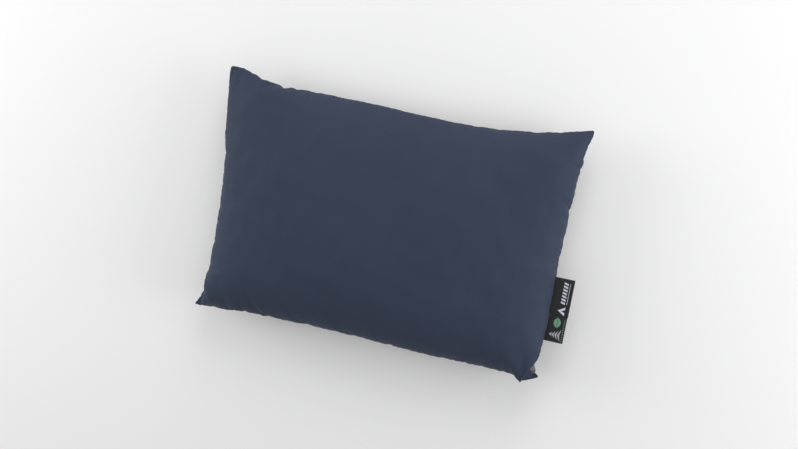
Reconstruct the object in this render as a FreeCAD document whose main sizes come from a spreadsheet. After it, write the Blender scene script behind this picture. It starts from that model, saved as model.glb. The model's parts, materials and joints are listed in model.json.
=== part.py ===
"""Camp pillow: a rectangular stuffed pillow that lies on its back panel.

Millimetres, +Z up. The origin is the centre of the flat patch that the pillow
rests on. +X runs along the long side, towards the two sewn-in labels, and +Y
towards the top edge. The seam between the front and the back panel lies in
one level plane, and its four sides dip in between pointed corners.
"""
import FreeCAD, Part
import os
import Sketcher

SHEET = "Sizes"

# Driving dimensions, one spreadsheet cell each, in millimetres unless noted.
SIZES = {
    # The closed seam seen from above: corner tips, and how far each side dips in.
    "corner_x": 242.6,
    "corner_y": 171.0,
    "dip_right": 8.0,
    "dip_top": 20.0,
    "dip_left": 9.0,
    "dip_bottom": 6.5,
    # Heights above the surface that the pillow rests on.
    "seam_height": 43.5,
    "crown_height": 108.0,
    # Bow of a rounded side, as a share of the side's half length.
    "bow_rate": 0.08,
    # Cloth, seam allowance and the room left around the filling.
    "fabric": 0.8,
    "allowance": 10.0,
    "fill_gap": 0.7,
    # The cloth is set in by this much sideways and upright, which keeps its
    # thickness nearly even over every slope of the pillow.
    "inward_share": 0.6,
    "upright_share": 0.8,
    # Where the inside of the shell meets its seam allowance, in cloth thicknesses.
    "toe_share": 3.0,
    # Sewing threads.
    "thread_radius": 0.25,
    "thread_lift": 0.05,
    "stitch_inset": 4.0,
    "thread_end_gap": 3.0,
    "overlock_width": 0.4,
    "overlock_overhang": 0.4,
    "overlock_gap": 0.05,
    "closing_length": 150.0,
    "closing_stand_off": 0.5,
    # Labels: folded strips of ribbon that stand out of the right-hand seam.
    "label_leaf": 0.45,
    "label_slot": 0.3,
    "upper_label_root": 237.5,
    "upper_label_reach": 26.1,
    "upper_label_top": -24.5,
    "upper_label_width": 51.5,
    "lower_label_root": 239.3,
    "lower_label_reach": 23.7,
    "lower_label_top": -76.4,
    "lower_label_width": 35.0,
}

# Levels of the front dome: share of its rise, inset of the corners, roundness
# (0 keeps the dips of the seam, 1 is a plain oval).
FRONT_LEVELS = (
    (0.0, 0.0, 0.0),
    (0.35, 28.0, 0.5),
    (0.65, 62.0, 0.85),
    (0.87, 100.0, 1.0),
    (0.97, 133.0, 1.0),
    (1.0, 150.0, 1.0),
)

# Levels of the back, as shares of the way from the seam down to the flat patch.
BACK_LEVELS = (
    (0.0, 0.0, 0.0),
    (0.4, 17.0, 0.35),
    (0.74, 36.0, 0.6),
    (0.93, 52.0, 0.75),
    (1.0, 61.0, 0.85),
)

SIDES = ("right", "top", "left", "bottom")
SEAM = f"{SHEET}.seam_height"


def size(name):
    """Expression for one spreadsheet cell."""
    return f"{SHEET}.{name}"


def fill_sheet(doc):
    """Write every driving dimension, and the level tables, to the spreadsheet."""
    sheet = doc.addObject("Spreadsheet::Sheet", SHEET)
    cells = dict(SIZES)
    for side, levels in (("front", FRONT_LEVELS), ("back", BACK_LEVELS)):
        for index, (share, inset, roundness) in enumerate(levels):
            cells[f"{side}_share_{index}"] = share
            cells[f"{side}_inset_{index}"] = inset
            cells[f"{side}_round_{index}"] = roundness
    for row, (alias, value) in enumerate(cells.items(), start=1):
        sheet.set(f"A{row}", alias)
        sheet.set(f"B{row}", str(value))
        sheet.setAlias(f"B{row}", alias)
    doc.recompute()
    return sheet


def value(doc, expression):
    """Number that an expression gives now."""
    return float(doc.getObject(SHEET).evalExpression(expression))


# ---------------------------------------------------------------- outlines

def outline(inset, roundness="0"):
    """Expressions for an outline whose corners are drawn in by an inset.

    half_x and half_y place the corners. Each side's own entry is how far the
    middle of that side lies from the centre.
    """
    half_x = f"({size('corner_x')} - ({inset}))"
    half_y = f"({size('corner_y')} - ({inset}))"
    shape = {"half_x": half_x, "half_y": half_y}
    for side in SIDES:
        across, along = (half_x, half_y) if side in ("right", "left") else (half_y, half_x)
        bow = f"{roundness} * {size('bow_rate')} * {along}"
        dip = f"(1 - {roundness}) * {size('dip_' + side)}"
        shape[side] = f"{across} + {bow} - {dip}"
    return shape


def vertex_at(sketch, curve, point):
    """Sketcher's number for the end of a curve that lies at a point."""
    start = sketch.getPoint(curve, 1)
    return 1 if start.distanceToPoint(point) < 1e-6 else 2


def draw_outline(sketch, shape, label):
    """Add one closed, fully constrained loop of four arcs that meet in corners."""
    doc = sketch.Document
    x, y = value(doc, shape["half_x"]), value(doc, shape["half_y"])
    corners = [FreeCAD.Vector(*xy, 0) for xy in ((x, -y), (x, y), (-x, y), (-x, -y))]
    directions = ((1, 0), (0, 1), (-1, 0), (0, -1))
    x_axis, y_axis, origin = -1, -2, (-1, 1)

    arcs = []
    for index, side in enumerate(SIDES):
        reach = value(doc, shape[side])
        middle = FreeCAD.Vector(directions[index][0] * reach, directions[index][1] * reach, 0)
        end = corners[(index + 1) % 4]
        arcs.append(sketch.addGeometry(Part.Arc(corners[index], middle, end), False))
        dot = sketch.addGeometry(Part.Point(middle), True)
        upright = side in ("top", "bottom")
        sketch.addConstraint(Sketcher.Constraint("PointOnObject", dot, 1, y_axis if upright else x_axis))
        sketch.addConstraint(Sketcher.Constraint("PointOnObject", dot, 1, arcs[-1]))
        pair = (*origin, dot, 1) if side in ("right", "top") else (dot, 1, *origin)
        name = f"{label}_{side}"
        kind = "DistanceY" if upright else "DistanceX"
        number = sketch.addConstraint(Sketcher.Constraint(kind, *pair, reach))
        sketch.renameConstraint(number, name)
        sketch.setExpression(f"Constraints.{name}", shape[side])

    tips = []
    for index in range(4):
        before, after = arcs[index - 1], arcs[index]
        tips.append((after, vertex_at(sketch, after, corners[index])))
        meeting = (before, vertex_at(sketch, before, corners[index]), *tips[-1])
        sketch.addConstraint(Sketcher.Constraint("Coincident", *meeting))
    for kind, key, distance in (("DistanceX", "half_x", x), ("DistanceY", "half_y", y)):
        number = sketch.addConstraint(Sketcher.Constraint(kind, *origin, *tips[1], distance))
        sketch.renameConstraint(number, f"{label}_{key}")
        sketch.setExpression(f"Constraints.{label}_{key}", shape[key])
    sketch.addConstraint(Sketcher.Constraint("Symmetric", *tips[1], *tips[2], y_axis))
    sketch.addConstraint(Sketcher.Constraint("Symmetric", *tips[1], *tips[0], x_axis))
    sketch.addConstraint(Sketcher.Constraint("Symmetric", *tips[1], *tips[3], *origin))


# ---------------------------------------------------------------- features

def new_body(doc, label):
    """Empty body with its own label and placement."""
    body = doc.addObject("PartDesign::Body", label)
    body.Label = label
    body.Placement = FreeCAD.Placement()
    return body


def new_sketch(body, name, plane, offset):
    """Sketch on one of the body's own origin planes, moved along its normal."""
    sketch = body.newObject("Sketcher::SketchObject", name)
    planes = [f for f in body.Origin.OriginFeatures if f.Role == plane]
    sketch.AttachmentSupport = (planes[0], [""])
    sketch.MapMode = "FlatFace"
    sketch.setExpression("AttachmentOffset.Base.z", offset)
    return sketch


def level_sketch(body, name, height, *shapes):
    """Level sketch at a height, with one four-arc loop per shape."""
    sketch = new_sketch(body, name, "XY_Plane", height)
    for index, shape in enumerate(shapes):
        draw_outline(sketch, shape, f"loop{index}")
    return sketch


def loft(body, kind, name, levels):
    """Loft through level sketches, given as (height, shape) pairs."""
    sketches = [
        level_sketch(body, f"{name}_level_{index}", height, shape)
        for index, (height, shape) in enumerate(levels)
    ]
    feature = body.newObject(f"PartDesign::{kind}", name)
    feature.Profile = sketches[0]
    feature.Sections = sketches[1:]
    body.Document.recompute()
    return feature


def pad(body, name, sketch, length):
    """Pad a sketch along its normal."""
    feature = body.newObject("PartDesign::Pad", name)
    feature.Profile = sketch
    feature.setExpression("Length", length)
    body.Document.recompute()
    return feature


def cut_opening(body, name, sketch, length, upwards):
    """Pocket a level sketch up or down, and make sure that it cuts something."""
    before = body.Shape.Volume
    feature = body.newObject("PartDesign::Pocket", name)
    feature.Profile = sketch
    feature.Reversed = upwards
    feature.setExpression("Length", length)
    body.Document.recompute()
    if body.Shape.Volume >= before - 1.0:
        raise RuntimeError(f"{name} removes nothing from {body.Label}")
    return feature


# ---------------------------------------------------------------- the stuffed shape

def half_levels(side, depth):
    """Levels of one half of the pillow, set in by a depth of cloth and gap.

    The first level stays at the seam plane: the caller lifts it where an
    inner surface has to start on the seam allowance.
    """
    inward = f"{size('inward_share')} * ({depth})"
    upright = f"{size('upright_share')} * ({depth})"
    count = len(FRONT_LEVELS) if side == "front" else len(BACK_LEVELS)
    levels = []
    for index in range(count):
        share = size(f"{side}_share_{index}")
        if side == "front":
            rise = f"({size('crown_height')} - {SEAM}) * {share}"
            height = f"{SEAM} + {rise} - {upright}"
        else:
            height = f"{SEAM} * (1 - {share}) + {upright}"
        inset = f"{size(f'{side}_inset_{index}')} + {inward}"
        levels.append((height, outline(inset, size(f"{side}_round_{index}"))))
    return levels


def make_panel(doc, label, side):
    """Cloth shell of one half, with its seam allowance turned in."""
    body = new_body(doc, label)
    fabric = size("fabric")
    away = "+" if side == "front" else "-"
    loft(body, "AdditiveLoft", f"{label}_outside", half_levels(side, "0"))

    inside = half_levels(side, fabric)
    toe = outline(f"{size('toe_share')} * {fabric}")
    inside[0] = (f"{SEAM} {away} {fabric}", toe)
    loft(body, "SubtractiveLoft", f"{label}_inside", inside)

    opening = level_sketch(body, f"{label}_opening", SEAM, outline(size("allowance")))
    cut_opening(body, f"{label}_mouth", opening, f"2 * {fabric}", side == "front")
    return body


def make_fill(doc):
    """Fibre filling: two lobes joined by a waist through the ring of allowances."""
    body = new_body(doc, "fibre_fill")
    depth = f"{size('fabric')} + {size('fill_gap')}"
    clear_of_thread = f"({size('fabric')} + 2 * {size('thread_radius')} + {size('fill_gap')})"
    toe = outline(f"{size('toe_share')} * {clear_of_thread}")
    for side, away in (("front", "+"), ("back", "-")):
        lobe = half_levels(side, depth)
        lobe[0] = (f"{SEAM} {away} {clear_of_thread}", toe)
        loft(body, "AdditiveLoft", f"{side}_lobe", lobe)

    waist_inset = f"{size('allowance')} + {size('overlock_width')} + 2 * {size('fill_gap')}"
    lowest = f"{SEAM} - 2 * {clear_of_thread}"
    waist = level_sketch(body, "waist_outline", lowest, outline(waist_inset))
    pad(body, "waist", waist, f"4 * {clear_of_thread}")
    return body


# ---------------------------------------------------------------- sewing

def arc_run(doc, name, side, inset, height, half_length):
    """Thread laid along one dipping side: a slice of a torus.

    The side is an arc through its two corners and its dipped middle, so its
    centre lies outside the pillow.
    """
    dip = size(f"dip_{side}")
    across, along = ("corner_x", "corner_y") if side in ("right", "left") else ("corner_y", "corner_x")
    half_chord = f"({size(along)} - ({inset}))"
    radius = f"(({half_chord}) ^ 2 + {dip} ^ 2) / (2 * {dip})"
    middle = f"({size(across)} - ({inset}) - {dip})"
    turn = {"right": 180, "top": 270, "left": 0, "bottom": 90}[side]
    half_turn = f"asin(({half_length}) / ({radius}))"

    run = doc.addObject("Part::Torus", name)
    run.setExpression("Radius1", radius)
    run.setExpression("Radius2", size("thread_radius"))
    run.setExpression("Angle3", f"2 * {half_turn}")
    run.Placement = FreeCAD.Placement(FreeCAD.Vector(), FreeCAD.Rotation(FreeCAD.Vector(0, 0, 1), turn))
    run.setExpression("Placement.Rotation.Angle", f"{turn} deg - {half_turn}")
    outwards = "" if side in ("right", "top") else "-"
    axis = "x" if side in ("right", "left") else "y"
    run.setExpression(f"Placement.Base.{axis}", f"{outwards}({middle} + {radius})")
    run.setExpression("Placement.Base.z", height)
    return run


def make_seam_thread(doc, label, away):
    """One thread of the lockstitched seam, a run per side, on one face of the allowances."""
    height = f"{SEAM} {away} ({size('fabric')} + {size('thread_radius')} + {size('thread_lift')})"
    runs = []
    for side in SIDES:
        along = "corner_y" if side in ("right", "left") else "corner_x"
        half_length = f"{size(along)} - {size('stitch_inset')} - {size('thread_end_gap')}"
        runs.append(arc_run(doc, f"{label}_{side}", side, size("stitch_inset"), height, half_length))
    group = doc.addObject("Part::Compound", label)
    group.Label = label
    group.Links = runs
    return group


def make_overlock(doc):
    """Overlock thread that binds the raw edges of both allowances together."""
    body = new_body(doc, "overlock_thread")
    reach = f"({size('fabric')} + {size('overlock_overhang')})"
    inner_edge = f"{size('allowance')} + {size('overlock_gap')}"
    outer = outline(inner_edge)
    inner = outline(f"{inner_edge} + {size('overlock_width')}")
    ring = level_sketch(body, "overlock_ring", f"{SEAM} - {reach}", outer, inner)
    pad(body, "overlock_band", ring, f"2 * {reach}")
    return body


def make_closing_stitch(doc):
    """Short run of stitching that shuts the filling gap in the bottom seam."""
    outside = f"-{size('closing_stand_off')} - {size('thread_radius')}"
    run = arc_run(doc, "closing_stitch", "bottom", outside, SEAM, f"{size('closing_length')} / 2")
    run.Label = "closing_stitch"
    return run


# ---------------------------------------------------------------- labels

def make_label(doc, label):
    """Ribbon folded in half: two flat leaves and a round fold at the outer edge."""
    body = new_body(doc, label)
    root, reach = size(f"{label}_root"), size(f"{label}_reach")
    top, width = size(f"{label}_top"), size(f"{label}_width")
    half_slot = f"{size('label_slot')} / 2"
    half_thickness = f"({half_slot} + {size('label_leaf')})"
    sketch = new_sketch(body, f"{label}_profile", "XZ_Plane", f"-({top})")
    outer, inner = value(doc, half_thickness), value(doc, half_slot)
    root_x = value(doc, root)
    fold_x = root_x + value(doc, reach) - outer
    middle_z = value(doc, SEAM)

    def at(x, dz):
        return FreeCAD.Vector(x, middle_z + dz, 0)

    parts = (
        Part.LineSegment(at(root_x, -outer), at(fold_x, -outer)),
        Part.Arc(at(fold_x, -outer), at(fold_x + outer, 0), at(fold_x, outer)),
        Part.LineSegment(at(fold_x, outer), at(root_x, outer)),
        Part.LineSegment(at(root_x, outer), at(root_x, inner)),
        Part.LineSegment(at(root_x, inner), at(fold_x, inner)),
        Part.Arc(at(fold_x, inner), at(fold_x + inner, 0), at(fold_x, -inner)),
        Part.LineSegment(at(fold_x, -inner), at(root_x, -inner)),
        Part.LineSegment(at(root_x, -inner), at(root_x, -outer)),
    )
    ends = [at(root_x, -outer), at(fold_x, -outer), at(fold_x, outer), at(root_x, outer)]
    ends += [at(root_x, inner), at(fold_x, inner), at(fold_x, -inner), at(root_x, -inner)]
    curves = [sketch.addGeometry(part, False) for part in parts]
    for index, (curve, point) in enumerate(zip(curves, ends)):
        previous = curves[index - 1]
        meeting = (previous, vertex_at(sketch, previous, point), curve, vertex_at(sketch, curve, point))
        sketch.addConstraint(Sketcher.Constraint("Coincident", *meeting))

    lower_face, big_fold, upper_face, upper_end, upper_inside, small_fold, lower_inside, lower_end = curves
    for line in (lower_face, upper_face, upper_inside, lower_inside):
        sketch.addConstraint(Sketcher.Constraint("Horizontal", line))
    for line in (upper_end, lower_end):
        sketch.addConstraint(Sketcher.Constraint("Vertical", line))
    sketch.addConstraint(Sketcher.Constraint("Coincident", big_fold, 3, small_fold, 3))
    for fold, line, end in (
        (big_fold, lower_face, 2),
        (big_fold, upper_face, 1),
        (small_fold, upper_inside, 2),
        (small_fold, lower_inside, 1),
    ):
        sketch.addConstraint(Sketcher.Constraint("Vertical", fold, 3, line, end))
    sketch.addConstraint(Sketcher.Constraint("Vertical", upper_end, 2, lower_end, 1))
    driven = (
        ("fold_outside", ("Radius", big_fold, outer), half_thickness),
        ("fold_inside", ("Radius", small_fold, inner), half_slot),
        ("root", ("DistanceX", -1, 1, lower_face, 1, root_x), root),
        ("leaf", ("DistanceX", lower_face, 1, lower_face, 2, fold_x - root_x), f"{reach} - {half_thickness}"),
        ("seam", ("DistanceY", -1, 1, big_fold, 3, middle_z), SEAM),
    )
    for name, arguments, expression in driven:
        number = sketch.addConstraint(Sketcher.Constraint(*arguments))
        sketch.renameConstraint(number, name)
        sketch.setExpression(f"Constraints.{name}", expression)
    pad(body, f"{label}_ribbon", sketch, width)
    return body


# ---------------------------------------------------------------- document

def check(doc, nodes):
    """Stop if any object failed, or if a node has no valid shape."""
    for item in doc.Objects:
        if "Invalid" in item.State or "Error" in item.State:
            raise RuntimeError(f"{item.Label} failed: {item.State}")
    for node in nodes:
        if node.Shape.isNull() or not node.Shape.isValid() or not node.Shape.Solids:
            raise RuntimeError(f"{node.Label} has no valid solid")


def main():
    doc = FreeCAD.newDocument("camp_pillow")
    fill_sheet(doc)
    nodes = [
        make_panel(doc, "front_panel", "front"),
        make_panel(doc, "back_panel", "back"),
        make_fill(doc),
        make_seam_thread(doc, "needle_thread", "+"),
        make_seam_thread(doc, "bobbin_thread", "-"),
        make_overlock(doc),
        make_closing_stitch(doc),
        make_label(doc, "upper_label"),
        make_label(doc, "lower_label"),
    ]
    doc.recompute()
    check(doc, nodes)
    os.makedirs("parts", exist_ok=True)
    for node in nodes:
        node.Shape.exportStep(f"parts/{node.Label}.step")
        box = node.Shape.BoundBox
        print(
            f"{node.Label}: {len(node.Shape.Solids)} solid(s), {node.Shape.Volume:.0f} mm3, "
            f"x {box.XMin:.1f}..{box.XMax:.1f}, y {box.YMin:.1f}..{box.YMax:.1f}, "
            f"z {box.ZMin:.2f}..{box.ZMax:.2f}"
        )


main()
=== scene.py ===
"""Looks of the camp pillow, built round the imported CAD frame. Metres, +Z up, lying on its back."""
import json
import math

import bpy
import numpy as np
from mathutils import Matrix, Vector


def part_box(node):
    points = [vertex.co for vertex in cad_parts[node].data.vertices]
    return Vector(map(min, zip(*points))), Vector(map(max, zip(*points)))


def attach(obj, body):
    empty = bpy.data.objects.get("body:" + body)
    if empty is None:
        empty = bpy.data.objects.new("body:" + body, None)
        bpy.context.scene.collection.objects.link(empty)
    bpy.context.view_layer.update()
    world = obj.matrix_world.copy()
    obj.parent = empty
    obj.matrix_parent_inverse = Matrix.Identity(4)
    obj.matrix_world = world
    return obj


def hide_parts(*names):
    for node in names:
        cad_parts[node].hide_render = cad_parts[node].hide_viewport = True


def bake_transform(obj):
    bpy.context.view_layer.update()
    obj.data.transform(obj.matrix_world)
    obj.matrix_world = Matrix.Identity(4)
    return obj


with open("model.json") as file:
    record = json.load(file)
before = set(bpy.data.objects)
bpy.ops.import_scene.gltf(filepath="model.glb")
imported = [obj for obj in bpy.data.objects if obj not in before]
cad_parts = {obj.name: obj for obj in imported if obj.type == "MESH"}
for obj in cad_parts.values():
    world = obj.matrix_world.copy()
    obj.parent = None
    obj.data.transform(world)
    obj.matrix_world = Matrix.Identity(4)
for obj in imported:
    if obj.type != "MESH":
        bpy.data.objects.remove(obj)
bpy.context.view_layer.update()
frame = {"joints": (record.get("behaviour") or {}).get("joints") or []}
JOINTS = {joint["name"]: joint for joint in frame["joints"]}

# The cut of one panel between its seams, and the seam allowance that is turned in.
CUT = (0.511, 0.358)
ALLOWANCE = 0.010
CLOTH = 0.00045
SEAM_Z = JOINTS["upper_label_flex"]["pos_m"][2]


# ---------------------------------------------------------------- small helpers

def smoothstep(low, high, x):
    t = np.clip((x - low) / (high - low), 0, 1)
    return t * t * (3 - 2 * t)


def unit(vectors):
    return vectors / np.maximum(np.linalg.norm(vectors, axis=-1, keepdims=True), 1e-12)


def new_mesh(name, points, faces, smooth=True):
    """Object with one mesh from points and faces, in the scene's collection."""
    mesh = bpy.data.meshes.new(name)
    vertices = np.asarray(points, float).reshape(-1, 3).tolist()
    mesh.from_pydata(vertices, [], [list(map(int, face)) for face in faces])
    mesh.update()
    if smooth:
        mesh.shade_smooth()
    else:
        mesh.shade_flat()
    piece = bpy.data.objects.new(name, mesh)
    bpy.context.scene.collection.objects.link(piece)
    return piece


def set_pattern(piece, flat):
    """Give each corner of the mesh its place on the flat cloth, in metres, as the UV map "pattern"."""
    layer = piece.data.uv_layers.new(name="pattern")
    loops = np.zeros(len(piece.data.loops), np.int32)
    piece.data.loops.foreach_get("vertex_index", loops)
    layer.data.foreach_set("uv", np.asarray(flat, float).reshape(-1, 2)[loops].ravel())


# ---------------------------------------------------------------- the cloth simulation
# Two rectangular panels, sewn together round their edges, blown up by the filling. Each panel is a
# grid of points [panel, row, column]: panel 0 is the front, panel 1 the back. Links between points
# keep the woven cloth from stretching; the solver is position based and runs from a coarse grid
# to a fine one.

LEVELS = (1, 2, 4)
COARSE_CELL = 0.010
STEPS = (300, 160, 90)
PASSES = 6
DRAG = 0.9
PUSH = 2.0e-4
WEIGHT = 1.0e-5
SLACK = 0.45
SHEAR = 0.25
BEND = 0.03
LAYER_GAP = 0.001
HOLD = 0.9
START_CROWN = 0.004
SMOOTH_PASSES = 3

# Low unevenness of the filling under the cloth, and how far in from the seam it begins.
BUMP_HEIGHT = 0.0005
BUMP_LENGTHS = (0.022, 0.080)
BUMP_START = 0.030

# Free height of the filling in the middle, how it thins towards the sides, and how much of it has
# sunk towards the bottom edge.
FREE_HEIGHT = 0.125
TAPER = 0.3
SUNK = 0.20
LUMPS = 0.035
LUMP_LENGTHS = (0.06, 0.18)

# The whole pillow sags a little towards its bottom edge: how far, where along it most, and how wide.
SAG = 0.006
SAG_PLACE = 0.09
SAG_WIDTH = 0.10

# The seam thread pulls the edge shorter, most of all at a few gathers.
SEAM_SHORTENING = 0.02
GATHER_DEPTH = 0.10
GATHER_WIDTH = 0.007
GATHER_SPACING = (0.014, 0.034)

# The empty cloth of each corner. The insets from the two sides, times the first two values, are
# added: there is no filling where the sum is under the third value, and all of it over the fourth.
EARS = {
    (-1, 1): (1.0, 1.0, 0.000, 0.150),
    (1, 1): (1.0, 1.0, 0.005, 0.120),
    (-1, -1): (1.0, 1.0, 0.034, 0.048),
    (1, -1): (1.0, 1.0, 0.028, 0.060),
}

# Spots of the cloth that are held where they lie: the panels (both at the seam), the corner, the
# insets from its two sides, and the place.
BOTH, FRONT, BACK = (0, 1), (0,), (1,)
HELD_SPOTS = (
    (BOTH, (-1, 1), (0, 0), (-0.2490, 0.1680, 0.044)),
    (BOTH, (-1, 1), (0.019, 0), (-0.2290, 0.1672, 0.044)),
    (BOTH, (-1, 1), (0.035, 0), (-0.2131, 0.1605, 0.044)),
    (BOTH, (-1, 1), (0, 0.018), (-0.2485, 0.1495, 0.044)),
    (BOTH, (-1, 1), (0, 0.042), (-0.2465, 0.1264, 0.044)),
    (BOTH, (-1, 1), (0, 0.095), (-0.2435, 0.0730, 0.043)),
    (BOTH, (-1, 1), (0.085, 0), (-0.1680, 0.1500, 0.044)),
    (BOTH, (1, 1), (0, 0), (0.2515, 0.1770, 0.044)),
    (BOTH, (1, 1), (0.025, 0), (0.2270, 0.1710, 0.044)),
    (BOTH, (1, 1), (0, 0.010), (0.2505, 0.1665, 0.044)),
    (BOTH, (1, 1), (0, 0.028), (0.2460, 0.1500, 0.044)),
    (BOTH, (1, 1), (0, 0.044), (0.2455, 0.1348, 0.044)),
    (BOTH, (1, 1), (0, 0.075), (0.2403, 0.1044, 0.044)),
    (BOTH, (-1, -1), (0, 0), (-0.2510, -0.1740, 0.034)),
    (BOTH, (-1, -1), (0, 0.016), (-0.2400, -0.1590, 0.038)),
    (BOTH, (-1, -1), (0, 0.045), (-0.2345, -0.1310, 0.043)),
    (BOTH, (-1, -1), (0.012, 0), (-0.2395, -0.1715, 0.036)),
    (BOTH, (-1, -1), (0.028, 0), (-0.2235, -0.1700, 0.038)),
    (BOTH, (-1, -1), (0.085, 0), (-0.1650, -0.1615, 0.043)),
    (FRONT, (-1, -1), (0.009, 0.009), (-0.2410, -0.1660, 0.036)),
    (FRONT, (-1, -1), (0.020, 0.020), (-0.2300, -0.1585, 0.058)),
    (BOTH, (1, -1), (0, 0), (0.2460, -0.1620, 0.042)),
    (BOTH, (1, -1), (0, 0.009), (0.2355, -0.1552, 0.046)),
    (BOTH, (1, -1), (0, 0.018), (0.2262, -0.1566, 0.048)),
    (BOTH, (1, -1), (0, 0.036), (0.2323, -0.1418, 0.046)),
    (BOTH, (1, -1), (0, 0.047), (0.2350, -0.1322, 0.0455)),
    (BOTH, (1, -1), (0, 0.057), (0.2352, -0.1235, 0.045)),
    (BOTH, (1, -1), (0.031, 0), (0.2180, -0.1765, 0.043)),
    (BACK, (1, -1), (0.015, 0.017), (0.2385, -0.1530, 0.040)),
    (FRONT, (1, -1), (0.005, 0.031), (0.2298, -0.1425, 0.050)),
    (FRONT, (1, -1), (0.011, 0.023), (0.2235, -0.1485, 0.053)),
    (FRONT, (1, -1), (0.019, 0.015), (0.2180, -0.1590, 0.054)),
    (FRONT, (1, -1), (0.026, 0.006), (0.2150, -0.1725, 0.050)),
    (FRONT, (1, -1), (0.010, 0.006), (0.2330, -0.1665, 0.041)),
    (BACK, (1, -1), (0.010, 0.006), (0.2335, -0.1660, 0.036)),
)


def cut_grid(level):
    """Flat places of the grid points on the cut, whose cells are 1 / level of the coarse ones."""
    columns, rows = (round(side / COARSE_CELL) * level + 1 for side in CUT)
    return np.meshgrid(
        np.linspace(-CUT[0] / 2, CUT[0] / 2, columns),
        np.linspace(-CUT[1] / 2, CUT[1] / 2, rows),
    )


def apart(count, offset):
    """Slices that pair every point of a line with the one offset away, in sets that share no point."""
    for start in range(2 * offset):
        yield slice(start, count - offset, 2 * offset), slice(start + offset, count, 2 * offset)


def gathers(length, count, seed):
    """Relative shortening of each link along a seam, from seeded gathers."""
    rng = np.random.default_rng(seed)
    along = (np.arange(count) + 0.5) * length / count
    shortening = np.full(count, SEAM_SHORTENING)
    place = rng.uniform(0, GATHER_SPACING[0])
    while place < length:
        width = GATHER_WIDTH * rng.uniform(0.7, 1.3)
        depth = GATHER_DEPTH * rng.uniform(0.2, 1.0)
        shortening += depth * np.exp(-((along - place) / width) ** 2)
        place += rng.uniform(*GATHER_SPACING)
    return shortening


def make_links(flat_x, flat_y):
    """Links as (first, second, rest length, share taken when stretched, share when shortened)."""
    rows, columns = flat_x.shape
    dx, dy = flat_x[0, 1] - flat_x[0, 0], flat_y[1, 0] - flat_y[0, 0]
    rest_x, rest_y = np.full((rows, columns - 1), dx), np.full((rows - 1, columns), dy)
    for seed, edge in enumerate((0, -1)):
        rest_x[edge] *= 1 - gathers(CUT[0], columns - 1, 11 + seed)
        rest_y[:, edge] *= 1 - gathers(CUT[1], rows - 1, 21 + seed)
    every = slice(None)
    links = []
    for first, second in apart(columns, 1):
        links.append(((every, every, first), (every, every, second), rest_x[:, first], 1.0, SLACK))
    for first, second in apart(rows, 1):
        links.append(((every, first), (every, second), rest_y[first], 1.0, SLACK))
    for first, second in apart(rows, 1):
        left, right = slice(0, columns - 1), slice(1, columns)
        for one, other in ((left, right), (right, left)):
            links.append(((every, first, one), (every, second, other), math.hypot(dx, dy), SHEAR, SHEAR))
    for first, second in apart(columns, 2):
        links.append(((every, every, first), (every, every, second), 2 * dx, 0.0, BEND))
    for first, second in apart(rows, 2):
        links.append(((every, first), (every, second), 2 * dy, 0.0, BEND))
    return links


def satisfy(points, link):
    """Move both ends of a set of links towards their rest length."""
    first, second, rest, stretched, shortened = link
    step = points[second] - points[first]
    length = np.sqrt(np.einsum("...i,...i", step, step)) + 1e-12
    error = length - rest
    share = np.where(error > 0, stretched, shortened) * 0.5 * error / length
    step *= share[..., None]
    points[first] += step
    points[second] -= step


def sew(points):
    """Both panels share the points of the seam."""
    for edge in ((0,), (-1,), (slice(None), 0), (slice(None), -1)):
        middle = (points[(0, *edge)] + points[(1, *edge)]) / 2
        points[(0, *edge)] = middle
        points[(1, *edge)] = middle


def ripples(x, y, lengths, seed, count=14):
    """Smooth random field of about -1 to 1, from seeded waves between two wavelengths."""
    rng = np.random.default_rng(seed)
    total = np.zeros_like(x)
    for _ in range(count):
        turn, phase = rng.uniform(0, 2 * math.pi, 2)
        wave = 2 * math.pi / rng.uniform(*lengths)
        total += np.cos(wave * (x * math.cos(turn) + y * math.sin(turn)) + phase)
    return total / math.sqrt(count)


def filling_field(flat_x, flat_y):
    """Free height of the filling over the cut, and how far it reaches into the corners."""
    u, v = 2 * flat_x / CUT[0], 2 * flat_y / CUT[1]
    height = FREE_HEIGHT * (1 - TAPER * u ** 4) * (1 - TAPER * v ** 4) * (1 - SUNK * v)
    height *= 1 + LUMPS * ripples(flat_x, flat_y, LUMP_LENGTHS, 3)
    reach = np.ones_like(flat_x)
    for (side_x, side_y), (weight_x, weight_y, empty, full) in EARS.items():
        inset_x, inset_y = CUT[0] / 2 - side_x * flat_x, CUT[1] / 2 - side_y * flat_y
        reach *= smoothstep(empty, full, weight_x * inset_x + weight_y * inset_y)
    return height, reach


def held_points(flat_x, flat_y):
    """Grid place and target of each held spot."""
    for panels, (side_x, side_y), (inset_x, inset_y), target in HELD_SPOTS:
        column = int(np.abs(flat_x[0] - side_x * (CUT[0] / 2 - inset_x)).argmin())
        row = int(np.abs(flat_y[:, 0] - side_y * (CUT[1] / 2 - inset_y)).argmin())
        yield list(panels), row, column, np.array(target)


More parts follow.
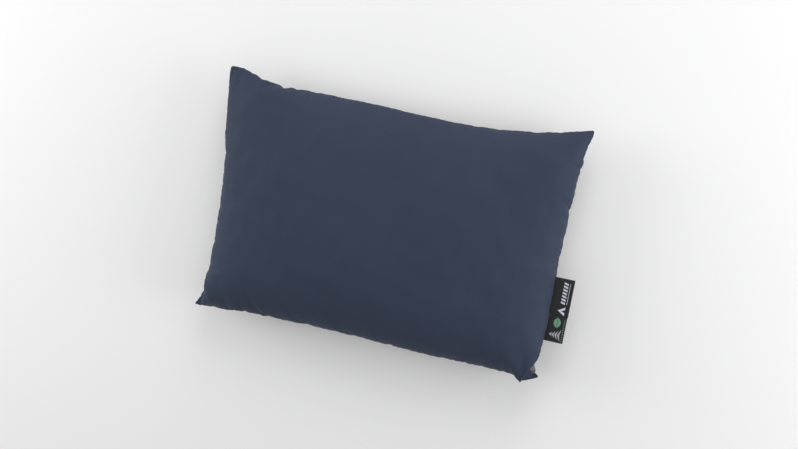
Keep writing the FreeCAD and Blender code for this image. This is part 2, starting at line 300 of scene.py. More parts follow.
def settle(points, flat_x, flat_y, steps):
    """Run the solver on one grid."""
    dx, dy = flat_x[0, 1] - flat_x[0, 0], flat_y[1, 0] - flat_y[0, 0]
    links = make_links(flat_x, flat_y)
    height, reach = filling_field(flat_x, flat_y)
    held = list(held_points(flat_x, flat_y))
    ease = (dx / COARSE_CELL) ** 2
    speed = np.zeros_like(points)
    for _ in range(steps):
        outwards = np.cross(np.gradient(points, axis=2), np.gradient(points, axis=1)) / (dx * dy)
        outwards[1] *= -1
        thickness = points[0, ..., 2] - points[1, ..., 2]
        pressure = ease * PUSH * reach * np.clip(1 - thickness / height, 0, 1)
        speed += outwards * pressure[..., None]
        speed[..., 2] -= ease * WEIGHT
        speed *= DRAG
        moved = points + speed
        for _ in range(PASSES):
            for link in links:
                satisfy(moved, link)
            sew(moved)
            overlap = np.clip(LAYER_GAP - moved[0, ..., 2] + moved[1, ..., 2], 0, None) / 2
            overlap[[0, -1]] = 0
            overlap[:, [0, -1]] = 0
            moved[0, ..., 2] += overlap
            moved[1, ..., 2] -= overlap
            np.maximum(moved[..., 2], 0, out=moved[..., 2])
            for panels, row, column, target in held:
                moved[panels, row, column] += HOLD * (target - moved[panels, row, column])
        speed = moved - points
        points = moved
    return points


def refine(points):
    """The same surface on a grid of half the cell."""
    panels, rows, columns, _ = points.shape
    fine = np.zeros((panels, 2 * rows - 1, 2 * columns - 1, 3))
    fine[:, ::2, ::2] = points
    fine[:, 1::2, ::2] = (points[:, :-1] + points[:, 1:]) / 2
    fine[:, :, 1::2] = (fine[:, :, :-1:2] + fine[:, :, 2::2]) / 2
    return fine


def smooth(points, passes):
    """Even out ripples of the size of a grid cell, away from the seam."""
    for _ in range(passes):
        around = points[:, :-2, 1:-1] + points[:, 2:, 1:-1] + points[:, 1:-1, :-2] + points[:, 1:-1, 2:]
        points[:, 1:-1, 1:-1] += 0.5 * (around / 4 - points[:, 1:-1, 1:-1])
    return points


def stuffed_case():
    """Simulated points of both panels on the finest grid."""
    flat_x, flat_y = cut_grid(LEVELS[0])
    crown = START_CROWN * (1 - (2 * flat_x / CUT[0]) ** 2) * (1 - (2 * flat_y / CUT[1]) ** 2)
    points = np.zeros((2, *flat_x.shape, 3))
    points[..., 0], points[..., 1], points[..., 2] = flat_x, flat_y, SEAM_Z
    points[0, ..., 2] += crown
    points[1, ..., 2] -= crown
    for level, steps in zip(LEVELS, STEPS):
        if level > 1:
            points = refine(points)
        points = settle(points, *cut_grid(level), steps)
    points[..., 1] -= SAG * np.exp(-(((points[..., 0] - SAG_PLACE) / SAG_WIDTH) ** 2))
    points = refine(smooth(points, SMOOTH_PASSES))
    flat_x, flat_y = cut_grid(2 * LEVELS[-1])
    return fold_seams(add_bumps(points, flat_x, flat_y), flat_x, flat_y)


def outwards_of(points):
    """Unit normals of both panels, pointing out of the pillow."""
    normals = unit(np.cross(np.gradient(points, axis=2), np.gradient(points, axis=1)))
    normals[1] *= -1
    return normals


def add_bumps(points, flat_x, flat_y):
    """The uneven filling shows through the cloth as low bumps."""
    inset = np.minimum(CUT[0] / 2 - np.abs(flat_x), CUT[1] / 2 - np.abs(flat_y))
    for panel in (0, 1):
        height = BUMP_HEIGHT * ripples(flat_x, flat_y, BUMP_LENGTHS, 31 + panel, count=40)
        height *= smoothstep(0, BUMP_START, inset)
        points[panel] += height[..., None] * outwards_of(points)[panel]
    return points


# ---------------------------------------------------------------- folds along the seam
# The thread draws the cloth in at uneven spots: a notch in the edge, and a groove that fans out
# and fades inwards over both panels. There are many small puckers, some tucks at random, and a
# few deep ones in known places.

PUCKERS = {
    "spacing": (0.005, 0.012),
    "depth": (0.0002, 0.0008),
    "width": (0.0017, 0.0028),
    "reach": (0.007, 0.018),
    "lean": (-0.3, 0.3),
}
TUCKS = {
    "spacing": (0.018, 0.055),
    "depth": (0.0004, 0.0014),
    "width": (0.0028, 0.0055),
    "reach": (0.010, 0.030),
    "lean": (-0.4, 0.4),
}

# The deep tucks of each side: place along it from the left or the bottom, depth, width, reach and
# lean.
BOTTOM_TUCKS = (
    (0.066, 0.0018, 0.0026, 0.024, -0.30),
    (0.084, 0.0024, 0.0026, 0.028, -0.15),
    (0.100, 0.0018, 0.0024, 0.020, -0.10),
    (0.115, 0.0034, 0.0030, 0.026, -0.45),
    (0.173, 0.0028, 0.0026, 0.026, -0.55),
    (0.240, 0.0020, 0.0026, 0.020, -0.50),
    (0.288, 0.0016, 0.0026, 0.018, -0.40),
)
RIGHT_TUCKS = (
    (0.246, 0.0026, 0.0026, 0.011, 0.60),
    (0.301, 0.0014, 0.0028, 0.014, 0.30),
    (0.314, 0.0013, 0.0028, 0.014, 0.10),
)
TOP_TUCKS = (
    (0.062, 0.0012, 0.0060, 0.030, 0.20),
    (0.103, 0.0018, 0.0045, 0.022, 0.10),
)
LEFT_TUCKS = (
    (0.036, 0.0014, 0.0030, 0.014, -0.30),
    (0.057, 0.0016, 0.0030, 0.014, -0.20),
    (0.262, 0.0010, 0.0030, 0.014, 0.10),
)
NOTCH_SHARE = 0.6
NOTCH_REACH = 0.006
GROOVE_SHARE = 2.4
GROOVE_LIMIT = 0.35
GROOVE_START = 0.003
GROOVE_FAN = 0.030
CREASE_POWER = 1.2

# How strong the small folds of the bottom, right, top and left side are, at even steps along each.
SIDE_STRENGTHS = ((1.5, 0.8, 1.2), (1.2, 1.4, 1.1, 0.6), (0.9, 0.6, 0.8), (1.2, 0.8, 0.8))

# The labels keep the edge straight where they are sewn in, between these places of the right side.
LABEL_SPAN = (0.055, 0.165)
LABEL_STIFFNESS = 0.9


def random_folds(kind, length, rng, strengths):
    """Seeded folds of one kind along a side."""
    folds = []
    place = rng.uniform(*kind["spacing"])
    while place < length - kind["spacing"][0]:
        depth, width, reach, lean = (rng.uniform(*kind[size]) for size in ("depth", "width", "reach", "lean"))
        depth *= np.interp(place / length, np.linspace(0, 1, len(strengths)), strengths)
        folds.append((place, depth, width, reach, lean))
        place += rng.uniform(*kind["spacing"])
    return folds


def fold_side(inset, along, folds):
    """How far the folds of one side draw the seam inwards, and how deep their grooves are."""
    notch, groove = np.zeros_like(inset), np.zeros_like(inset)
    for place, depth, width, reach, lean in folds:
        fan = width * (1 + inset / GROOVE_FAN)
        line = np.exp(-np.abs((along - place - lean * inset) / fan) ** CREASE_POWER)
        dip = np.exp(-((along - place) / width) ** 2) * np.exp(-(inset / NOTCH_REACH) ** 2)
        notch += NOTCH_SHARE * depth * dip
        fade = np.exp(-inset / reach) * (1 - np.exp(-(inset / GROOVE_START) ** 2))
        groove += GROOVE_SHARE * depth * line * fade
    return notch, groove


def fold_seams(points, flat_x, flat_y):
    """Puckers and tucks round the whole seam."""
    rng = np.random.default_rng(8)
    half_x, half_y = CUT[0] / 2, CUT[1] / 2
    sides = (
        (half_y + flat_y, flat_x + half_x, CUT[0], (0, 1, 0)),
        (half_x - flat_x, flat_y + half_y, CUT[1], (-1, 0, 0)),
        (half_y - flat_y, flat_x + half_x, CUT[0], (0, -1, 0)),
        (half_x + flat_x, flat_y + half_y, CUT[1], (1, 0, 0)),
    )
    deep_tucks = (BOTTOM_TUCKS, RIGHT_TUCKS, TOP_TUCKS, LEFT_TUCKS)
    from_bottom = flat_y + half_y
    at_labels = (flat_x > 0) & (from_bottom > LABEL_SPAN[0]) & (from_bottom < LABEL_SPAN[1])
    loose = 1 - LABEL_STIFFNESS * at_labels
    drawn_in, sunk = np.zeros_like(points), np.zeros_like(flat_x)
    for (inset, along, length, inwards), deep, strengths in zip(sides, deep_tucks, SIDE_STRENGTHS):
        folds = list(deep)
        for kind in (PUCKERS, TUCKS):
            folds += random_folds(kind, length, rng, strengths)
        notch, groove = fold_side(inset, along, folds)
        drawn_in += (notch * loose)[..., None] * np.array(inwards)
        sunk += groove
    deepest = GROOVE_LIMIT * np.linalg.norm(points[0] - points[1], axis=-1) + 1e-6
    sunk = deepest * np.tanh(sunk / deepest)
    points = points + drawn_in - sunk[..., None] * outwards_of(points)
    points[..., 2] = np.maximum(points[..., 2], 0)
    return points


# ---------------------------------------------------------------- reading the simulated surface

def along_grid(points, u, v):
    """Smooth surface at flat places u, v, measured from the cut's lower left corner."""
    rows, columns = points.shape[:2]
    x = np.clip(u / CUT[0] * (columns - 1), 0, columns - 1 - 1e-9)
    y = np.clip(v / CUT[1] * (rows - 1), 0, rows - 1 - 1e-9)
    i, j = x.astype(int), y.astype(int)
    s, t = (x - i)[..., None], (y - j)[..., None]
    low = points[j, i] * (1 - s) + points[j, i + 1] * s
    high = points[j + 1, i] * (1 - s) + points[j + 1, i + 1] * s
    return low * (1 - t) + high * t


# ---------------------------------------------------------------- the two panels

PANEL_CELL = 0.0018
TIP_RADIUS = 0.009
LIP_DEPTH = 0.0013
LIP_REACH = 0.0009
EDGE_ROWS = (0.0, 0.0004, 0.0009, 0.0016)
TURNED_ROWS = (0.0025, 0.0060, ALLOWANCE)


def round_corners(u, v):
    """Flat places with the corners of the cut turned into quarter circles."""
    past = []
    for place, length in ((u, CUT[0]), (v, CUT[1])):
        past.append(np.clip(np.abs(place - length / 2) - length / 2 + TIP_RADIUS, 0, None) / TIP_RADIUS)
    rounded = []
    for place, length, own, other in ((u, CUT[0], *past), (v, CUT[1], *past[::-1])):
        back = own * (1 - np.sqrt(1 - np.minimum(other, 1) ** 2 / 2)) * TIP_RADIUS
        rounded.append(place - np.sign(place - length / 2) * back)
    return rounded


def panel_lines(length, cell):
    """Flat places of a panel's grid lines from one turned-in edge to the other."""
    count = round(length / cell)
    inner = np.arange(1, count) * length / count
    turned, edge = np.array(TURNED_ROWS), np.array(EDGE_ROWS)
    return np.concatenate([-turned[::-1], edge, inner, length - edge[::-1], length + turned])


def make_panel(name, points, panel):
    """Cloth of one side: its stuffed surface, the rolled seam edge and the mitred seam allowance."""
    u, v = np.meshgrid(panel_lines(CUT[0], PANEL_CELL), panel_lines(CUT[1], PANEL_CELL))
    past_u, past_v = np.maximum(-u, u - CUT[0]), np.maximum(-v, v - CUT[1])
    turned = np.maximum(np.maximum(past_u, past_v), 0)
    inside_u = np.where(u < 0, -u, np.where(u > CUT[0], 2 * CUT[0] - u, u))
    inside_v = np.where(v < 0, -v, np.where(v > CUT[1], 2 * CUT[1] - v, v))
    edge = np.minimum(np.minimum(inside_u, CUT[0] - inside_u), np.minimum(inside_v, CUT[1] - inside_v))
    joined = np.exp(-(edge / LIP_REACH) ** 2)[..., None]
    inside_u, inside_v = round_corners(inside_u, inside_v)
    middle = points.mean(axis=0)
    place = along_grid(points[panel], inside_u, inside_v) * (1 - joined)
    place += along_grid(middle, inside_u, inside_v) * joined
    flat_inside = along_grid(middle, inside_u, inside_v)
    side = 1 if panel == 0 else -1
    flat_inside[..., 2] += side * CLOTH * 0.1
    place = np.where((turned > 0)[..., None], flat_inside, place)

    # The seam line is pulled in between the two rolled edges.
    probe = 0.006
    for near_edge, here, there in (
        (inside_u, (0 * u, inside_v), (0 * u + probe, inside_v)),
        (CUT[0] - inside_u, (0 * u + CUT[0], inside_v), (0 * u + CUT[0] - probe, inside_v)),
        (inside_v, (inside_u, 0 * v), (inside_u, 0 * v + probe)),
        (CUT[1] - inside_v, (inside_u, 0 * v + CUT[1]), (inside_u, 0 * v + CUT[1] - probe)),
    ):
        inwards = unit(along_grid(middle, *there) - along_grid(middle, *here))
        depth = LIP_DEPTH * np.exp(-(near_edge / LIP_REACH) ** 2) * (turned == 0)
        place = place + inwards * depth[..., None]

    rows, columns = u.shape
    index = np.arange(rows * columns).reshape(rows, columns)
    quads = np.stack([index[:-1, :-1], index[:-1, 1:], index[1:, 1:], index[1:, :-1]], -1).reshape(-1, 4)
    centre_past = [(a[:-1, :-1] + a[1:, 1:] + a[:-1, 1:] + a[1:, :-1]) / 4 for a in (past_u, past_v)]
    across = np.maximum(*centre_past).ravel() > 0
    along = np.minimum(*centre_past).ravel()
    depth = np.maximum(*centre_past).ravel()
    keep = ~across | (along < -depth)
    quads = quads[keep]
    used, compact = np.unique(quads, return_inverse=True)
    quads = compact.reshape(-1, 4)
    if panel == 1:
        quads = quads[:, ::-1]
    piece = new_mesh(name, place.reshape(-1, 3)[used], quads)
    set_pattern(piece, np.stack([u, v], -1).reshape(-1, 2)[used])
    shell = piece.modifiers.new("cloth_thickness", "SOLIDIFY")
    shell.thickness = CLOTH
    shell.offset = -1
    return piece


# ---------------------------------------------------------------- places on the seam allowance

def rim(side_share, inset):
    """Flat place at an inset from the outline. The whole part of side_share is the side, from the
    bottom one anticlockwise, and the rest is the share of the way along it."""
    side, share = np.floor(side_share).astype(int) % 4, side_share % 1
    corner_u, corner_v = np.array([0, 1, 1, 0, 0]), np.array([0, 0, 1, 1, 0])
    u = corner_u[side] * (1 - share) + corner_u[side + 1] * share
    v = corner_v[side] * (1 - share) + corner_v[side + 1] * share
    return inset + u * (CUT[0] - 2 * inset), inset + v * (CUT[1] - 2 * inset)


# The lockstitch, the overlocked edges as a loop of (inset, height), and the stitch that closes the
# gap left for the filling.
STITCH_PITCH = 0.003
STITCH_STEPS = 6
STITCH_INSET = 0.004
SEAM_THREAD = 0.0003
OVERLOCK_PITCH = 0.0032
OVERLOCK_THREAD = 0.0003
OVERLOCK_LOOP = (
    (0.0068, 0.0007), (0.0088, 0.0007), (0.0102, 0.0004),
    (0.0102, -0.0004), (0.0088, -0.0007), (0.0068, -0.0007),
)
CLOSING_LENGTH = 0.150
CLOSING_PITCH = 0.006
CLOSING_STAND = 0.0012
CLOSING_REACH = 0.0011


def stitch_places(pitch, parts):
    """side_share of every step of a stitch that repeats round the pillow, and the step's number."""
    places = []
    for side in range(4):
        count = round(CUT[side % 2] / pitch) * parts
        places.append(side + np.arange(count) / count)
    places = np.concatenate(places)
    return places, np.arange(len(places)) % parts


def tube(name, path, radius, sides=5, closed=True):
    """Round thread along a path, with frames that turn as little as possible."""
    ahead, behind = np.roll(path, -1, 0), np.roll(path, 1, 0)
    if not closed:
        ahead[-1], behind[0] = path[-1], path[0]
    heading = unit(ahead - behind)
    across = unit(np.cross(heading, (0.31, 0.17, 0.93)))
    above = np.cross(heading, across)
    turn = np.arange(sides) * 2 * math.pi / sides
    rings = path[:, None] + radius * (
        np.cos(turn)[None, :, None] * across[:, None] + np.sin(turn)[None, :, None] * above[:, None]
    )
    count = len(path)
    faces = []
    for ring in range(count if closed else count - 1):
        here, there = ring * sides, (ring + 1) % count * sides
        for side in range(sides):
            after = (side + 1) % sides
            faces.append((here + side, here + after, there + after, there + side))
    if not closed:
        faces.append(tuple(reversed(range(sides))))
        faces.append(tuple(range((count - 1) * sides, count * sides)))
    return new_mesh(name, rings, faces)


def make_seam_thread(name, middle, side):
    """One thread of the lockstitch: it lies on its own ply and dips to the middle at each stitch."""
    places, step = stitch_places(STITCH_PITCH, STITCH_STEPS)
    path = along_grid(middle, *rim(places, STITCH_INSET))
    lift = np.sin(math.pi * step / STITCH_STEPS) ** 0.5
    path[:, 2] += side * (SEAM_THREAD * 0.6 + lift * CLOTH * 1.2)
    return tube(name, path, SEAM_THREAD / 2)


def make_overlock(middle):
    """Thread that loops over the raw edges of both plies."""
    loop = np.array(OVERLOCK_LOOP)
    places, step = stitch_places(OVERLOCK_PITCH, len(loop))
    inset = loop[step, 0]
    path = np.array([along_grid(middle, *rim(np.array([p]), i))[0] for p, i in zip(places, inset)])
    path[:, 2] += loop[step, 1]
    return tube("overlock_loops", path, OVERLOCK_THREAD / 2, sides=4)


def make_closing_stitch(middle):
    """Ladder stitch that closes the gap left for filling, across the seam at the bottom edge."""
    half = CLOSING_LENGTH / CUT[0] / 2
    count = round(CLOSING_LENGTH / CLOSING_PITCH) * 4
    share = np.linspace(0.5 - half, 0.5 + half, count)
    path = along_grid(middle, *rim(share, 0 * share))
    level = np.array([-1, -0.3, 1, 0.3])[np.arange(count) % 4]
    path[:, 1] += CLOSING_STAND
    path[:, 2] += level * CLOSING_REACH
    return tube("closing_ladder_stitch", path, SEAM_THREAD / 2, closed=False)


# ---------------------------------------------------------------- filling

FILL_CELL = 0.005
FILL_INSET = 0.016
FILL_ROUNDING = 0.4
FILL_GAP = 0.003
FILL_BELLY = 0.001


def make_filling(points):
    """Hollow-fibre wad: the inside of the case, held clear of the cloth, with round corners."""
    half_x, half_y = CUT[0] / 2 - FILL_INSET, CUT[1] / 2 - FILL_INSET
    columns, rows = round(2 * half_x / FILL_CELL) + 1, round(2 * half_y / FILL_CELL) + 1
    a, b = np.meshgrid(np.linspace(-1, 1, columns), np.linspace(-1, 1, rows))
    u = CUT[0] / 2 + half_x * a * np.sqrt(1 - FILL_ROUNDING * b ** 2 / 2)
    v = CUT[1] / 2 + half_y * b * np.sqrt(1 - FILL_ROUNDING * a ** 2 / 2)
    top, bottom = along_grid(points[0], u, v), along_grid(points[1], u, v)
    middle = (top + bottom) / 2
    thickness = np.linalg.norm(top - bottom, axis=-1, keepdims=True)
    top = middle + (top - middle) * (1 - 2 * FILL_GAP / thickness)
    bottom = middle + (bottom - middle) * (1 - 2 * FILL_GAP / thickness)

    index = np.arange(rows * columns).reshape(rows, columns)
    quads = np.stack([index[:-1, :-1], index[:-1, 1:], index[1:, 1:], index[1:, :-1]], -1).reshape(-1, 4)
    border = np.concatenate([index[0, :-1], index[:-1, -1], index[-1, :0:-1], index[:0:-1, 0]])
    outline = middle.reshape(-1, 3)[border]
    outline += unit(outline - np.array([0, 0, outline[:, 2].mean()])) * FILL_BELLY
    count = rows * columns
    waist = 2 * count + np.arange(len(border))
    faces = [tuple(q) for q in quads] + [tuple(q[::-1]) for q in quads + count]
    for near, far, one, other in zip(border, np.roll(border, -1), waist, np.roll(waist, -1)):
        faces.append((far, near, one, other))
        faces.append((near + count, far + count, other, one))
    vertices = np.concatenate([top.reshape(-1, 3), bottom.reshape(-1, 3), outline])
    return new_mesh("fibre_wad", vertices, faces)


# ---------------------------------------------------------------- labels

# Thickness of one leaf, the fold at the outer end, the tail that is sewn into the seam, how far the
# leaves are pinched by the seam, the woven figures, and the gap between the two labels.
LEAF = 0.0003
FOLD_RADIUS = 0.00045
TAIL = 0.003
LABEL_BEND = 0.006
PATCH = 0.00012
LABEL_GAP = 0.0001
PINCH = 0.45

# How far inside the ribbon's hinge and how far out of the seam a bend would begin and end; no bend is made.
BEND_START = 0.001
BEND_END = 0.005
LABELS = {
    "upper": {"node": "upper_label", "body": "upper_tab", "joint": "upper_label_flex"},
    "lower": {"node": "lower_label", "body": "lower_tab", "joint": "lower_label_flex"},
}


def label_place(label):
    """Root x, outer x, lowest and highest y, and height of a label, from its CAD node and joint."""
    low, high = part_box(label["node"])
    root = JOINTS[label["joint"]]["pos_m"]
    top = high.y
    if label is LABELS["lower"]:
        top = min(top + LABEL_GAP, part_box(LABELS["upper"]["node"])[0].y - LABEL_GAP)
    return root[0], high.x, low.y, top, root[2]


def make_label(name, label):
    """Woven ribbon, folded once at its outer end, both tails in the seam."""
    root, outer, low_y, high_y, z = label_place(label)
    straight = np.linspace(root - TAIL, outer - FOLD_RADIUS - LEAF / 2, 24)
    turn = np.linspace(math.pi / 2, -math.pi / 2, 9)[1:-1]
    fold = FOLD_RADIUS + LEAF / 2
    x = np.concatenate([straight, straight[-1] + fold * np.cos(turn), straight[::-1]])
    height = np.concatenate([0 * straight + fold, fold * np.sin(turn), 0 * straight - fold])
    pinch = smoothstep(root - TAIL, root + LABEL_BEND, x)
    height *= PINCH + (1 - PINCH) * pinch
    y = np.linspace(low_y, high_y, 22)
    section = np.stack([x, height + z], -1)
    vertices = [(px, py, pz) for py in y for px, pz in section]
    count = len(section)
    faces = []
    for row in range(len(y) - 1):
        for step in range(count - 1):
            start = row * count + step
            faces.append((start, start + count, start + count + 1, start + 1))
    piece = new_mesh(name, vertices, faces)
    length = np.concatenate([[0], np.cumsum(np.hypot(*np.diff(section, axis=0).T))])
    set_pattern(piece, [(s, py) for py in y for s in length])
    shell = piece.modifiers.new("ribbon_thickness", "SOLIDIFY")
    shell.thickness = LEAF
    shell.offset = 0
    return piece, length[-1]


def make_patch(name, label, outlines):
    """Woven-in figures on a label's upper leaf. An outline's points are (share across, share up)."""
    root, outer, low_y, high_y, z = label_place(label)
    level = z + FOLD_RADIUS + LEAF
    vertices, faces = [], []
    for outline in outlines:
        start, count = len(vertices), len(outline)
        for lift in (0, PATCH):
            vertices += [
                (root + a * (outer - root), low_y + b * (high_y - low_y), level + lift) for a, b in outline
            ]
        faces.append(tuple(start + count + i for i in range(count)))
        faces.append(tuple(start + i for i in reversed(range(count))))
        for i in range(count):
            j = (i + 1) % count
            faces.append((start + i, start + j, start + count + j, start + count + i))
    return new_mesh(name, vertices, faces, smooth=False)


def tent():
    """Ridge tent with an open door, its top towards the pillow."""
    left = [(0.78, 0.04), (0.42, 0.155), (0.60, 0.155), (0.78, 0.115)]
    right = [(a, 0.31 - b) for a, b in reversed(left)]
    return [left, right]


def stripe(first, last, count, a0, a1, lean, share=0.55):
    """Row of slanted bars up the label."""
    pitch = (last - first) / count
    bars = []
    for number in range(count):
        b = first + number * pitch
        bars.append([(a0, b), (a1, b + lean), (a1, b + lean + share * pitch), (a0, b + share * pitch)])
    return bars


def leaf(centre_a, centre_b, length, width):
    """Pointed leaf in two halves beside its vein."""
    vein_half = 0.012
    along = np.linspace(0, 1, 9)
    belly = width * np.sin(math.pi * along) ** 0.8
    halves = []
    for side in (-1, 1):
        heart = centre_a + side * vein_half
        edge = [(heart + side * w, centre_b + length * (t - 0.5)) for t, w in zip(along, belly)]
        vein = [(heart, centre_b + length * (t - 0.5)) for t in along[::-1]]
        halves.append((edge + vein)[:: -side] if side > 0 else edge + vein)
    return halves


def fir_tree(centre_b, first_a, last_a, tiers):
    """Stack of chevrons that widen away from the pillow."""
    shapes = []
    pitch = (last_a - first_a) / tiers
    for tier in range(tiers):
        a, reach = first_a + tier * pitch, 0.09 + 0.05 * tier
        shapes.append([
            (a, centre_b), (a + 1.2 * pitch, centre_b + reach), (a + 0.75 * pitch, centre_b),
            (a + 1.2 * pitch, centre_b - reach),
        ][::-1])
    return shapes


# ---------------------------------------------------------------- materials

class Nodes:
    """Short hand for the node tree of one new material."""

    def __init__(self, name, colour, roughness):
        self.material = bpy.data.materials.new(name)
        self.material.use_nodes = True
        self.tree = self.material.node_tree
        self.shader = self.tree.nodes["Principled BSDF"]
        self.set("Base Color", (*colour, 1))
        self.set("Roughness", roughness)

    def set(self, socket, value):
        self.shader.inputs[socket].default_value = value

    def add(self, kind, inputs=None, **settings):
        node = self.tree.nodes.new(kind)
        for key, value in settings.items():
            setattr(node, key, value)
        for key, value in (inputs or {}).items():
            if isinstance(value, bpy.types.NodeSocket):
                self.tree.links.new(value, node.inputs[key])
            else:
                node.inputs[key].default_value = value
        return node

    def weighted(self, first, share, second, other_share):
        """Sum of two values, each times its own share."""
        parts = self.calculate("MULTIPLY", first, share), self.calculate("MULTIPLY", second, other_share)
        return self.calculate("ADD", *parts)

    def join(self, output, socket):
        self.tree.links.new(output, self.shader.inputs[socket])

    def noise(self, place, scale, detail=3.0, rough=0.5):
        inputs = {"Vector": place, "Scale": scale, "Detail": detail, "Roughness": rough}
        return self.add("ShaderNodeTexNoise", inputs).outputs["Fac"]

    def calculate(self, operation, first, second):
        node = self.add("ShaderNodeMath", operation=operation)
        for number, value in enumerate((first, second)):
            if isinstance(value, bpy.types.NodeSocket):
                self.tree.links.new(value, node.inputs[number])
            else:
                node.inputs[number].default_value = value
        return node.outputs[0]

    def blend(self, factor, low, high):
        ramp = self.add("ShaderNodeMix", data_type="RGBA")
        for key, value in (("Factor", factor), ("A", (*low, 1)), ("B", (*high, 1))):
            socket = [s for s in ramp.inputs if s.name == key and s.enabled][0]
            if isinstance(value, bpy.types.NodeSocket):
                self.tree.links.new(value, socket)
            else:
                socket.default_value = value
        return [s for s in ramp.outputs if s.enabled][0]

    def bump(self, height, distance, strength=1.0, under=None):
        inputs = {"Height": height, "Distance": distance, "Strength": strength}
        if under is not None:
            inputs["Normal"] = under
        return self.add("ShaderNodeBump", inputs).outputs["Normal"]

    def yarns(self, place, pitch, direction):
        """One set of parallel yarns, 0 between them and 1 on top."""
        scale = 2 * math.pi / 20 / pitch
        inputs = {"Vector": place, "Scale": scale, "Distortion": 0.0}
        wave = self.add("ShaderNodeTexWave", inputs, wave_type="BANDS", bands_direction=direction)
        return wave.outputs["Fac"]


def scaled(colour, factor):
    return tuple(c * factor for c in colour)


FRONT_COLOUR = (0.0425, 0.0545, 0.0870)
BACK_COLOUR = (0.150, 0.150, 0.163)
YARN_PITCH = 0.00032


def front_fabric():
    """Tightly woven navy polyester with a faint sheen."""
    cloth = Nodes("navy_polyester", FRONT_COLOUR, 0.58)
    flat = cloth.add("ShaderNodeUVMap", uv_map="pattern").outputs["UV"]
    tone = cloth.noise(flat, 9.0, 4.0)
    speck = cloth.noise(flat, 900.0, 2.0, 0.7)
    tone = cloth.weighted(tone, 0.7, speck, 0.3)
    cloth.join(cloth.blend(tone, scaled(FRONT_COLOUR, 0.86), scaled(FRONT_COLOUR, 1.14)), "Base Color")
    warp = cloth.yarns(flat, YARN_PITCH, "X")
    weft = cloth.yarns(flat, YARN_PITCH, "Y")
    weave = cloth.calculate("MAXIMUM", warp, weft)
    rough = cloth.calculate("ADD", cloth.calculate("MULTIPLY", weave, -0.12), 0.66)
    cloth.join(rough, "Roughness")
    crinkle = cloth.bump(cloth.noise(flat, 55.0, 3.0, 0.55), 0.0012, 0.35)
    slub = cloth.bump(cloth.noise(flat, 420.0, 2.0), 0.00012, 0.5, crinkle)
    cloth.join(cloth.bump(weave, 0.00006, 0.6, slub), "Normal")
    cloth.set("Sheen Weight", 0.04)
    cloth.set("Sheen Roughness", 0.45)
    cloth.set("Sheen Tint", (0.62, 0.72, 0.95, 1))
    cloth.set("Specular IOR Level", 0.05)
    return cloth.material


def back_fabric():
    """Cool grey brushed polyester with a short nap."""
    cloth = Nodes("grey_brushed_polyester", BACK_COLOUR, 0.85)
    flat = cloth.add("ShaderNodeUVMap", uv_map="pattern").outputs["UV"]
    patches = cloth.noise(flat, 14.0, 4.0)
    fibres = cloth.noise(flat, 1300.0, 3.0, 0.7)
    tone = cloth.weighted(patches, 0.5, fibres, 0.5)
    cloth.join(cloth.blend(tone, scaled(BACK_COLOUR, 0.8), scaled(BACK_COLOUR, 1.2)), "Base Color")
    nap = cloth.bump(cloth.noise(flat, 160.0, 4.0, 0.6), 0.0006, 0.4)
    cloth.join(cloth.bump(fibres, 0.0002, 0.6, nap), "Normal")
    cloth.set("Sheen Weight", 0.5)
    cloth.set("Sheen Roughness", 0.6)
    return cloth.material


def fibre():
    """White hollow fibre."""
    wad = Nodes("white_hollow_fibre", (0.82, 0.82, 0.8), 0.9)
    place = wad.add("ShaderNodeTexCoord").outputs["Object"]
    curls = wad.noise(place, 260.0, 6.0, 0.65)
    wad.join(wad.blend(curls, (0.70, 0.70, 0.68), (0.88, 0.88, 0.86)), "Base Color")
    wad.join(wad.bump(curls, 0.002, 0.8), "Normal")
    wad.set("Sheen Weight", 0.4)
    return wad.material


def thread(name, colour):
    """Twisted polyester thread."""
    yarn = Nodes(name, colour, 0.5)
    place = yarn.add("ShaderNodeTexCoord").outputs["Object"]
    ply = yarn.noise(place, 3000.0, 2.0)
    yarn.join(yarn.blend(ply, scaled(colour, 0.75), scaled(colour, 1.25)), "Base Color")
    yarn.join(yarn.bump(ply, 0.00005, 0.6), "Normal")
    yarn.set("Sheen Weight", 0.3)
    return yarn.material


def ribbon(name, colour, contrast):
    """Satin-woven label cloth: fine ribs across the fold."""
    cloth = Nodes(name, colour, 0.6)
    place = cloth.add("ShaderNodeTexCoord").outputs["Object"]
    ribs = cloth.yarns(place, 0.0006, "X")
    picks = cloth.yarns(place, 0.0004, "Y")
    weave = cloth.weighted(ribs, 0.7, picks, 0.3)
    cloth.join(cloth.blend(weave, scaled(colour, 1 - contrast), scaled(colour, 1 + contrast)), "Base Color")
    cloth.join(cloth.bump(weave, 0.00008, 0.5), "Normal")
    cloth.set("Sheen Weight", 0.15)
    return cloth.material


# ---------------------------------------------------------------- stage, light and camera

TARGET = Vector((0.019, 0.001, 0.048))
DISTANCE = 2.007
TILT = (math.radians(10.07), math.radians(10.0))
ROLL = math.radians(10.27)
LENS_MM = 67.67
FLOOR_SIZE = 6.0

# Strength of the surroundings in front of the pillow and behind it, and the lamps as name, place,
# size and power.
AMBIENT = (0.49, 0.51)
LIGHTS = (
    ("left_light", (-1.5, 0.2, 0.6), 1.0, 11),
    ("top_light", (0.2, 1.6, 1.0), 1.0, 11),
    ("right_light", (1.5, 0.2, 0.5), 1.0, 11.5),
)


def make_camera():
    """Camera above the pillow, leaning to its right and its top, and rolled."""
    data = bpy.data.cameras.new("camera")
    data.lens = LENS_MM
    camera = bpy.data.objects.new("camera", data)
    bpy.context.scene.collection.objects.link(camera)
    back = Vector((math.tan(TILT[0]), math.tan(TILT[1]), 1)).normalized()
    level = (Vector((0, 1, 0)) - back * back.y).normalized()
    up = Matrix.Rotation(ROLL, 3, back) @ level
    right = up.cross(back)
    camera.matrix_world = Matrix((right, up, back)).transposed().to_4x4()
    camera.location = TARGET + back * DISTANCE
    bpy.context.scene.camera = camera


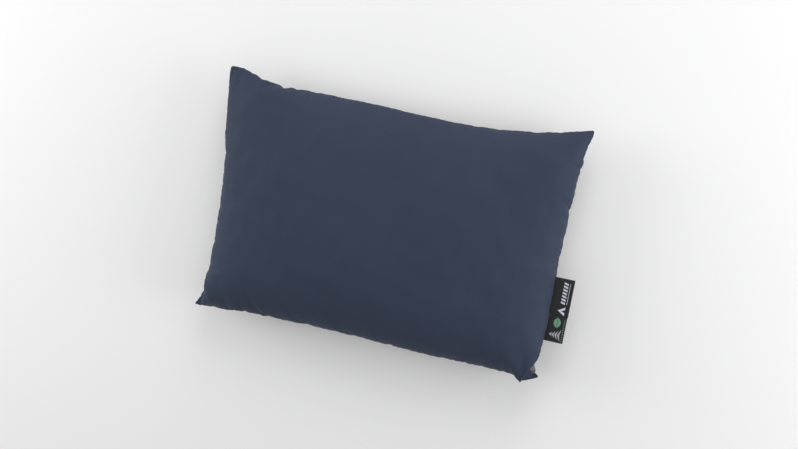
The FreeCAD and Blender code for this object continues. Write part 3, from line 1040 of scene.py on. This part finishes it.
def area_light(name, place, aim, size, power):
    data = bpy.data.lights.new(name, "AREA")
    data.size, data.energy = size, power
    light = bpy.data.objects.new(name, data)
    bpy.context.scene.collection.objects.link(light)
    light.location = place
    light.rotation_euler = (Vector(aim) - Vector(place)).to_track_quat("-Z", "Y").to_euler()


def make_stage():
    """White floor and even white surroundings."""
    half = FLOOR_SIZE / 2
    corners = [(-half, -half, 0), (half, -half, 0), (half, half, 0), (-half, half, 0)]
    floor = new_mesh("floor", corners, [(0, 1, 2, 3)])
    paint = Nodes("floor_white", (0.93, 0.93, 0.93), 0.9)
    floor.data.materials.append(paint.material)
    world = bpy.data.worlds.new("studio")
    world.use_nodes = True
    nodes, links = world.node_tree.nodes, world.node_tree.links
    direction = nodes.new("ShaderNodeTexCoord")
    split = nodes.new("ShaderNodeSeparateXYZ")
    fall = nodes.new("ShaderNodeMapRange")
    for name, value in zip(("From Min", "From Max", "To Min", "To Max"), (-0.9, 0.3, *AMBIENT)):
        fall.inputs[name].default_value = value
    links.new(direction.outputs["Generated"], split.inputs[0])
    links.new(split.outputs["Y"], fall.inputs["Value"])
    links.new(fall.outputs["Result"], nodes["Background"].inputs["Strength"])
    nodes["Background"].inputs["Color"].default_value = (1, 1, 1, 1)
    bpy.context.scene.world = world
    for name, place, size, power in LIGHTS:
        area_light(name, place, (0, 0, 0.05), size, power)
    bpy.context.scene.view_settings.view_transform = "Standard"



# ---------------------------------------------------------------- build

def dress(piece, material, body, slot, *nodes):
    """Material, body if it rides on one, slot (not used), and the CAD nodes that a piece stands for."""
    piece.data.materials.append(material)
    if body:
        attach(piece, body)
    if nodes:
        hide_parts(*nodes)
    return piece


def build_case(points):
    middle = points.mean(axis=0)
    wad = dress(make_filling(points), fibre(), "pillow", "fibre", "fibre_fill")
    front = make_panel("front_cloth", points, 0)
    dress(front, front_fabric(), "pillow", "front_fabric", "front_panel")
    back = make_panel("back_cloth", points, 1)
    dress(back, back_fabric(), "pillow", "back_fabric", "back_panel")
    navy = thread("navy_thread", (0.03, 0.04, 0.065))
    grey = thread("grey_thread", (0.17, 0.17, 0.18))
    needle = make_seam_thread("needle_stitches", middle, 1)
    bobbin = make_seam_thread("bobbin_stitches", middle, -1)
    dress(needle, navy, "pillow", "seam_thread", "needle_thread")
    dress(bobbin, navy, "pillow", "seam_thread", "bobbin_thread")
    dress(make_overlock(middle), grey, "pillow", "overlock_thread", "overlock_thread")
    dress(make_closing_stitch(middle), navy, "pillow", "seam_thread", "closing_stitch")


def build_labels():
    black = ribbon("black_ribbon", (0.0048, 0.0050, 0.0078), 0.25)
    white = ribbon("white_weft", (0.62, 0.66, 0.76), 0.12)
    pale = ribbon("pale_grey_weft", (0.40, 0.43, 0.46), 0.12)
    sage = ribbon("sage_weft", (0.15, 0.34, 0.22), 0.15)
    figures = {
        "upper": (
            ("tent", white, tent()),
            ("bars", white, stripe(0.36, 0.95, 7, 0.50, 0.72, -0.03)),
            ("line", pale, stripe(0.34, 0.90, 16, 0.79, 0.83, 0, 0.8)),
        ),
        "lower": (
            ("fir", pale, fir_tree(0.29, 0.16, 0.78, 4)),
            ("leaf", sage, leaf(0.50, 0.76, 0.40, 0.19)),
            ("dashes", sage, stripe(0.04, 0.96, 10, 0.88, 0.92, 0)),
        ),
    }
    for key, label in LABELS.items():
        root, _, low_y, high_y, z = label_place(label)
        piece, length = make_label(key + "_ribbon", label)
        dress(piece, black, None, "label_ribbon", label["node"])
        patches = []
        for name, material, outlines in figures[key]:
            patch = make_patch(f"{key}_{name}", label, outlines)
            patches.append(dress(patch, material, None, "label_ribbon"))
        start, end = (root - BEND_START, 0, z), (root + BEND_END, 0, z)
        for part in (piece, *patches):
            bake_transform(part)
            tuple(start)
            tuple(end)


make_camera()
make_stage()
build_case(stuffed_case())
build_labels()
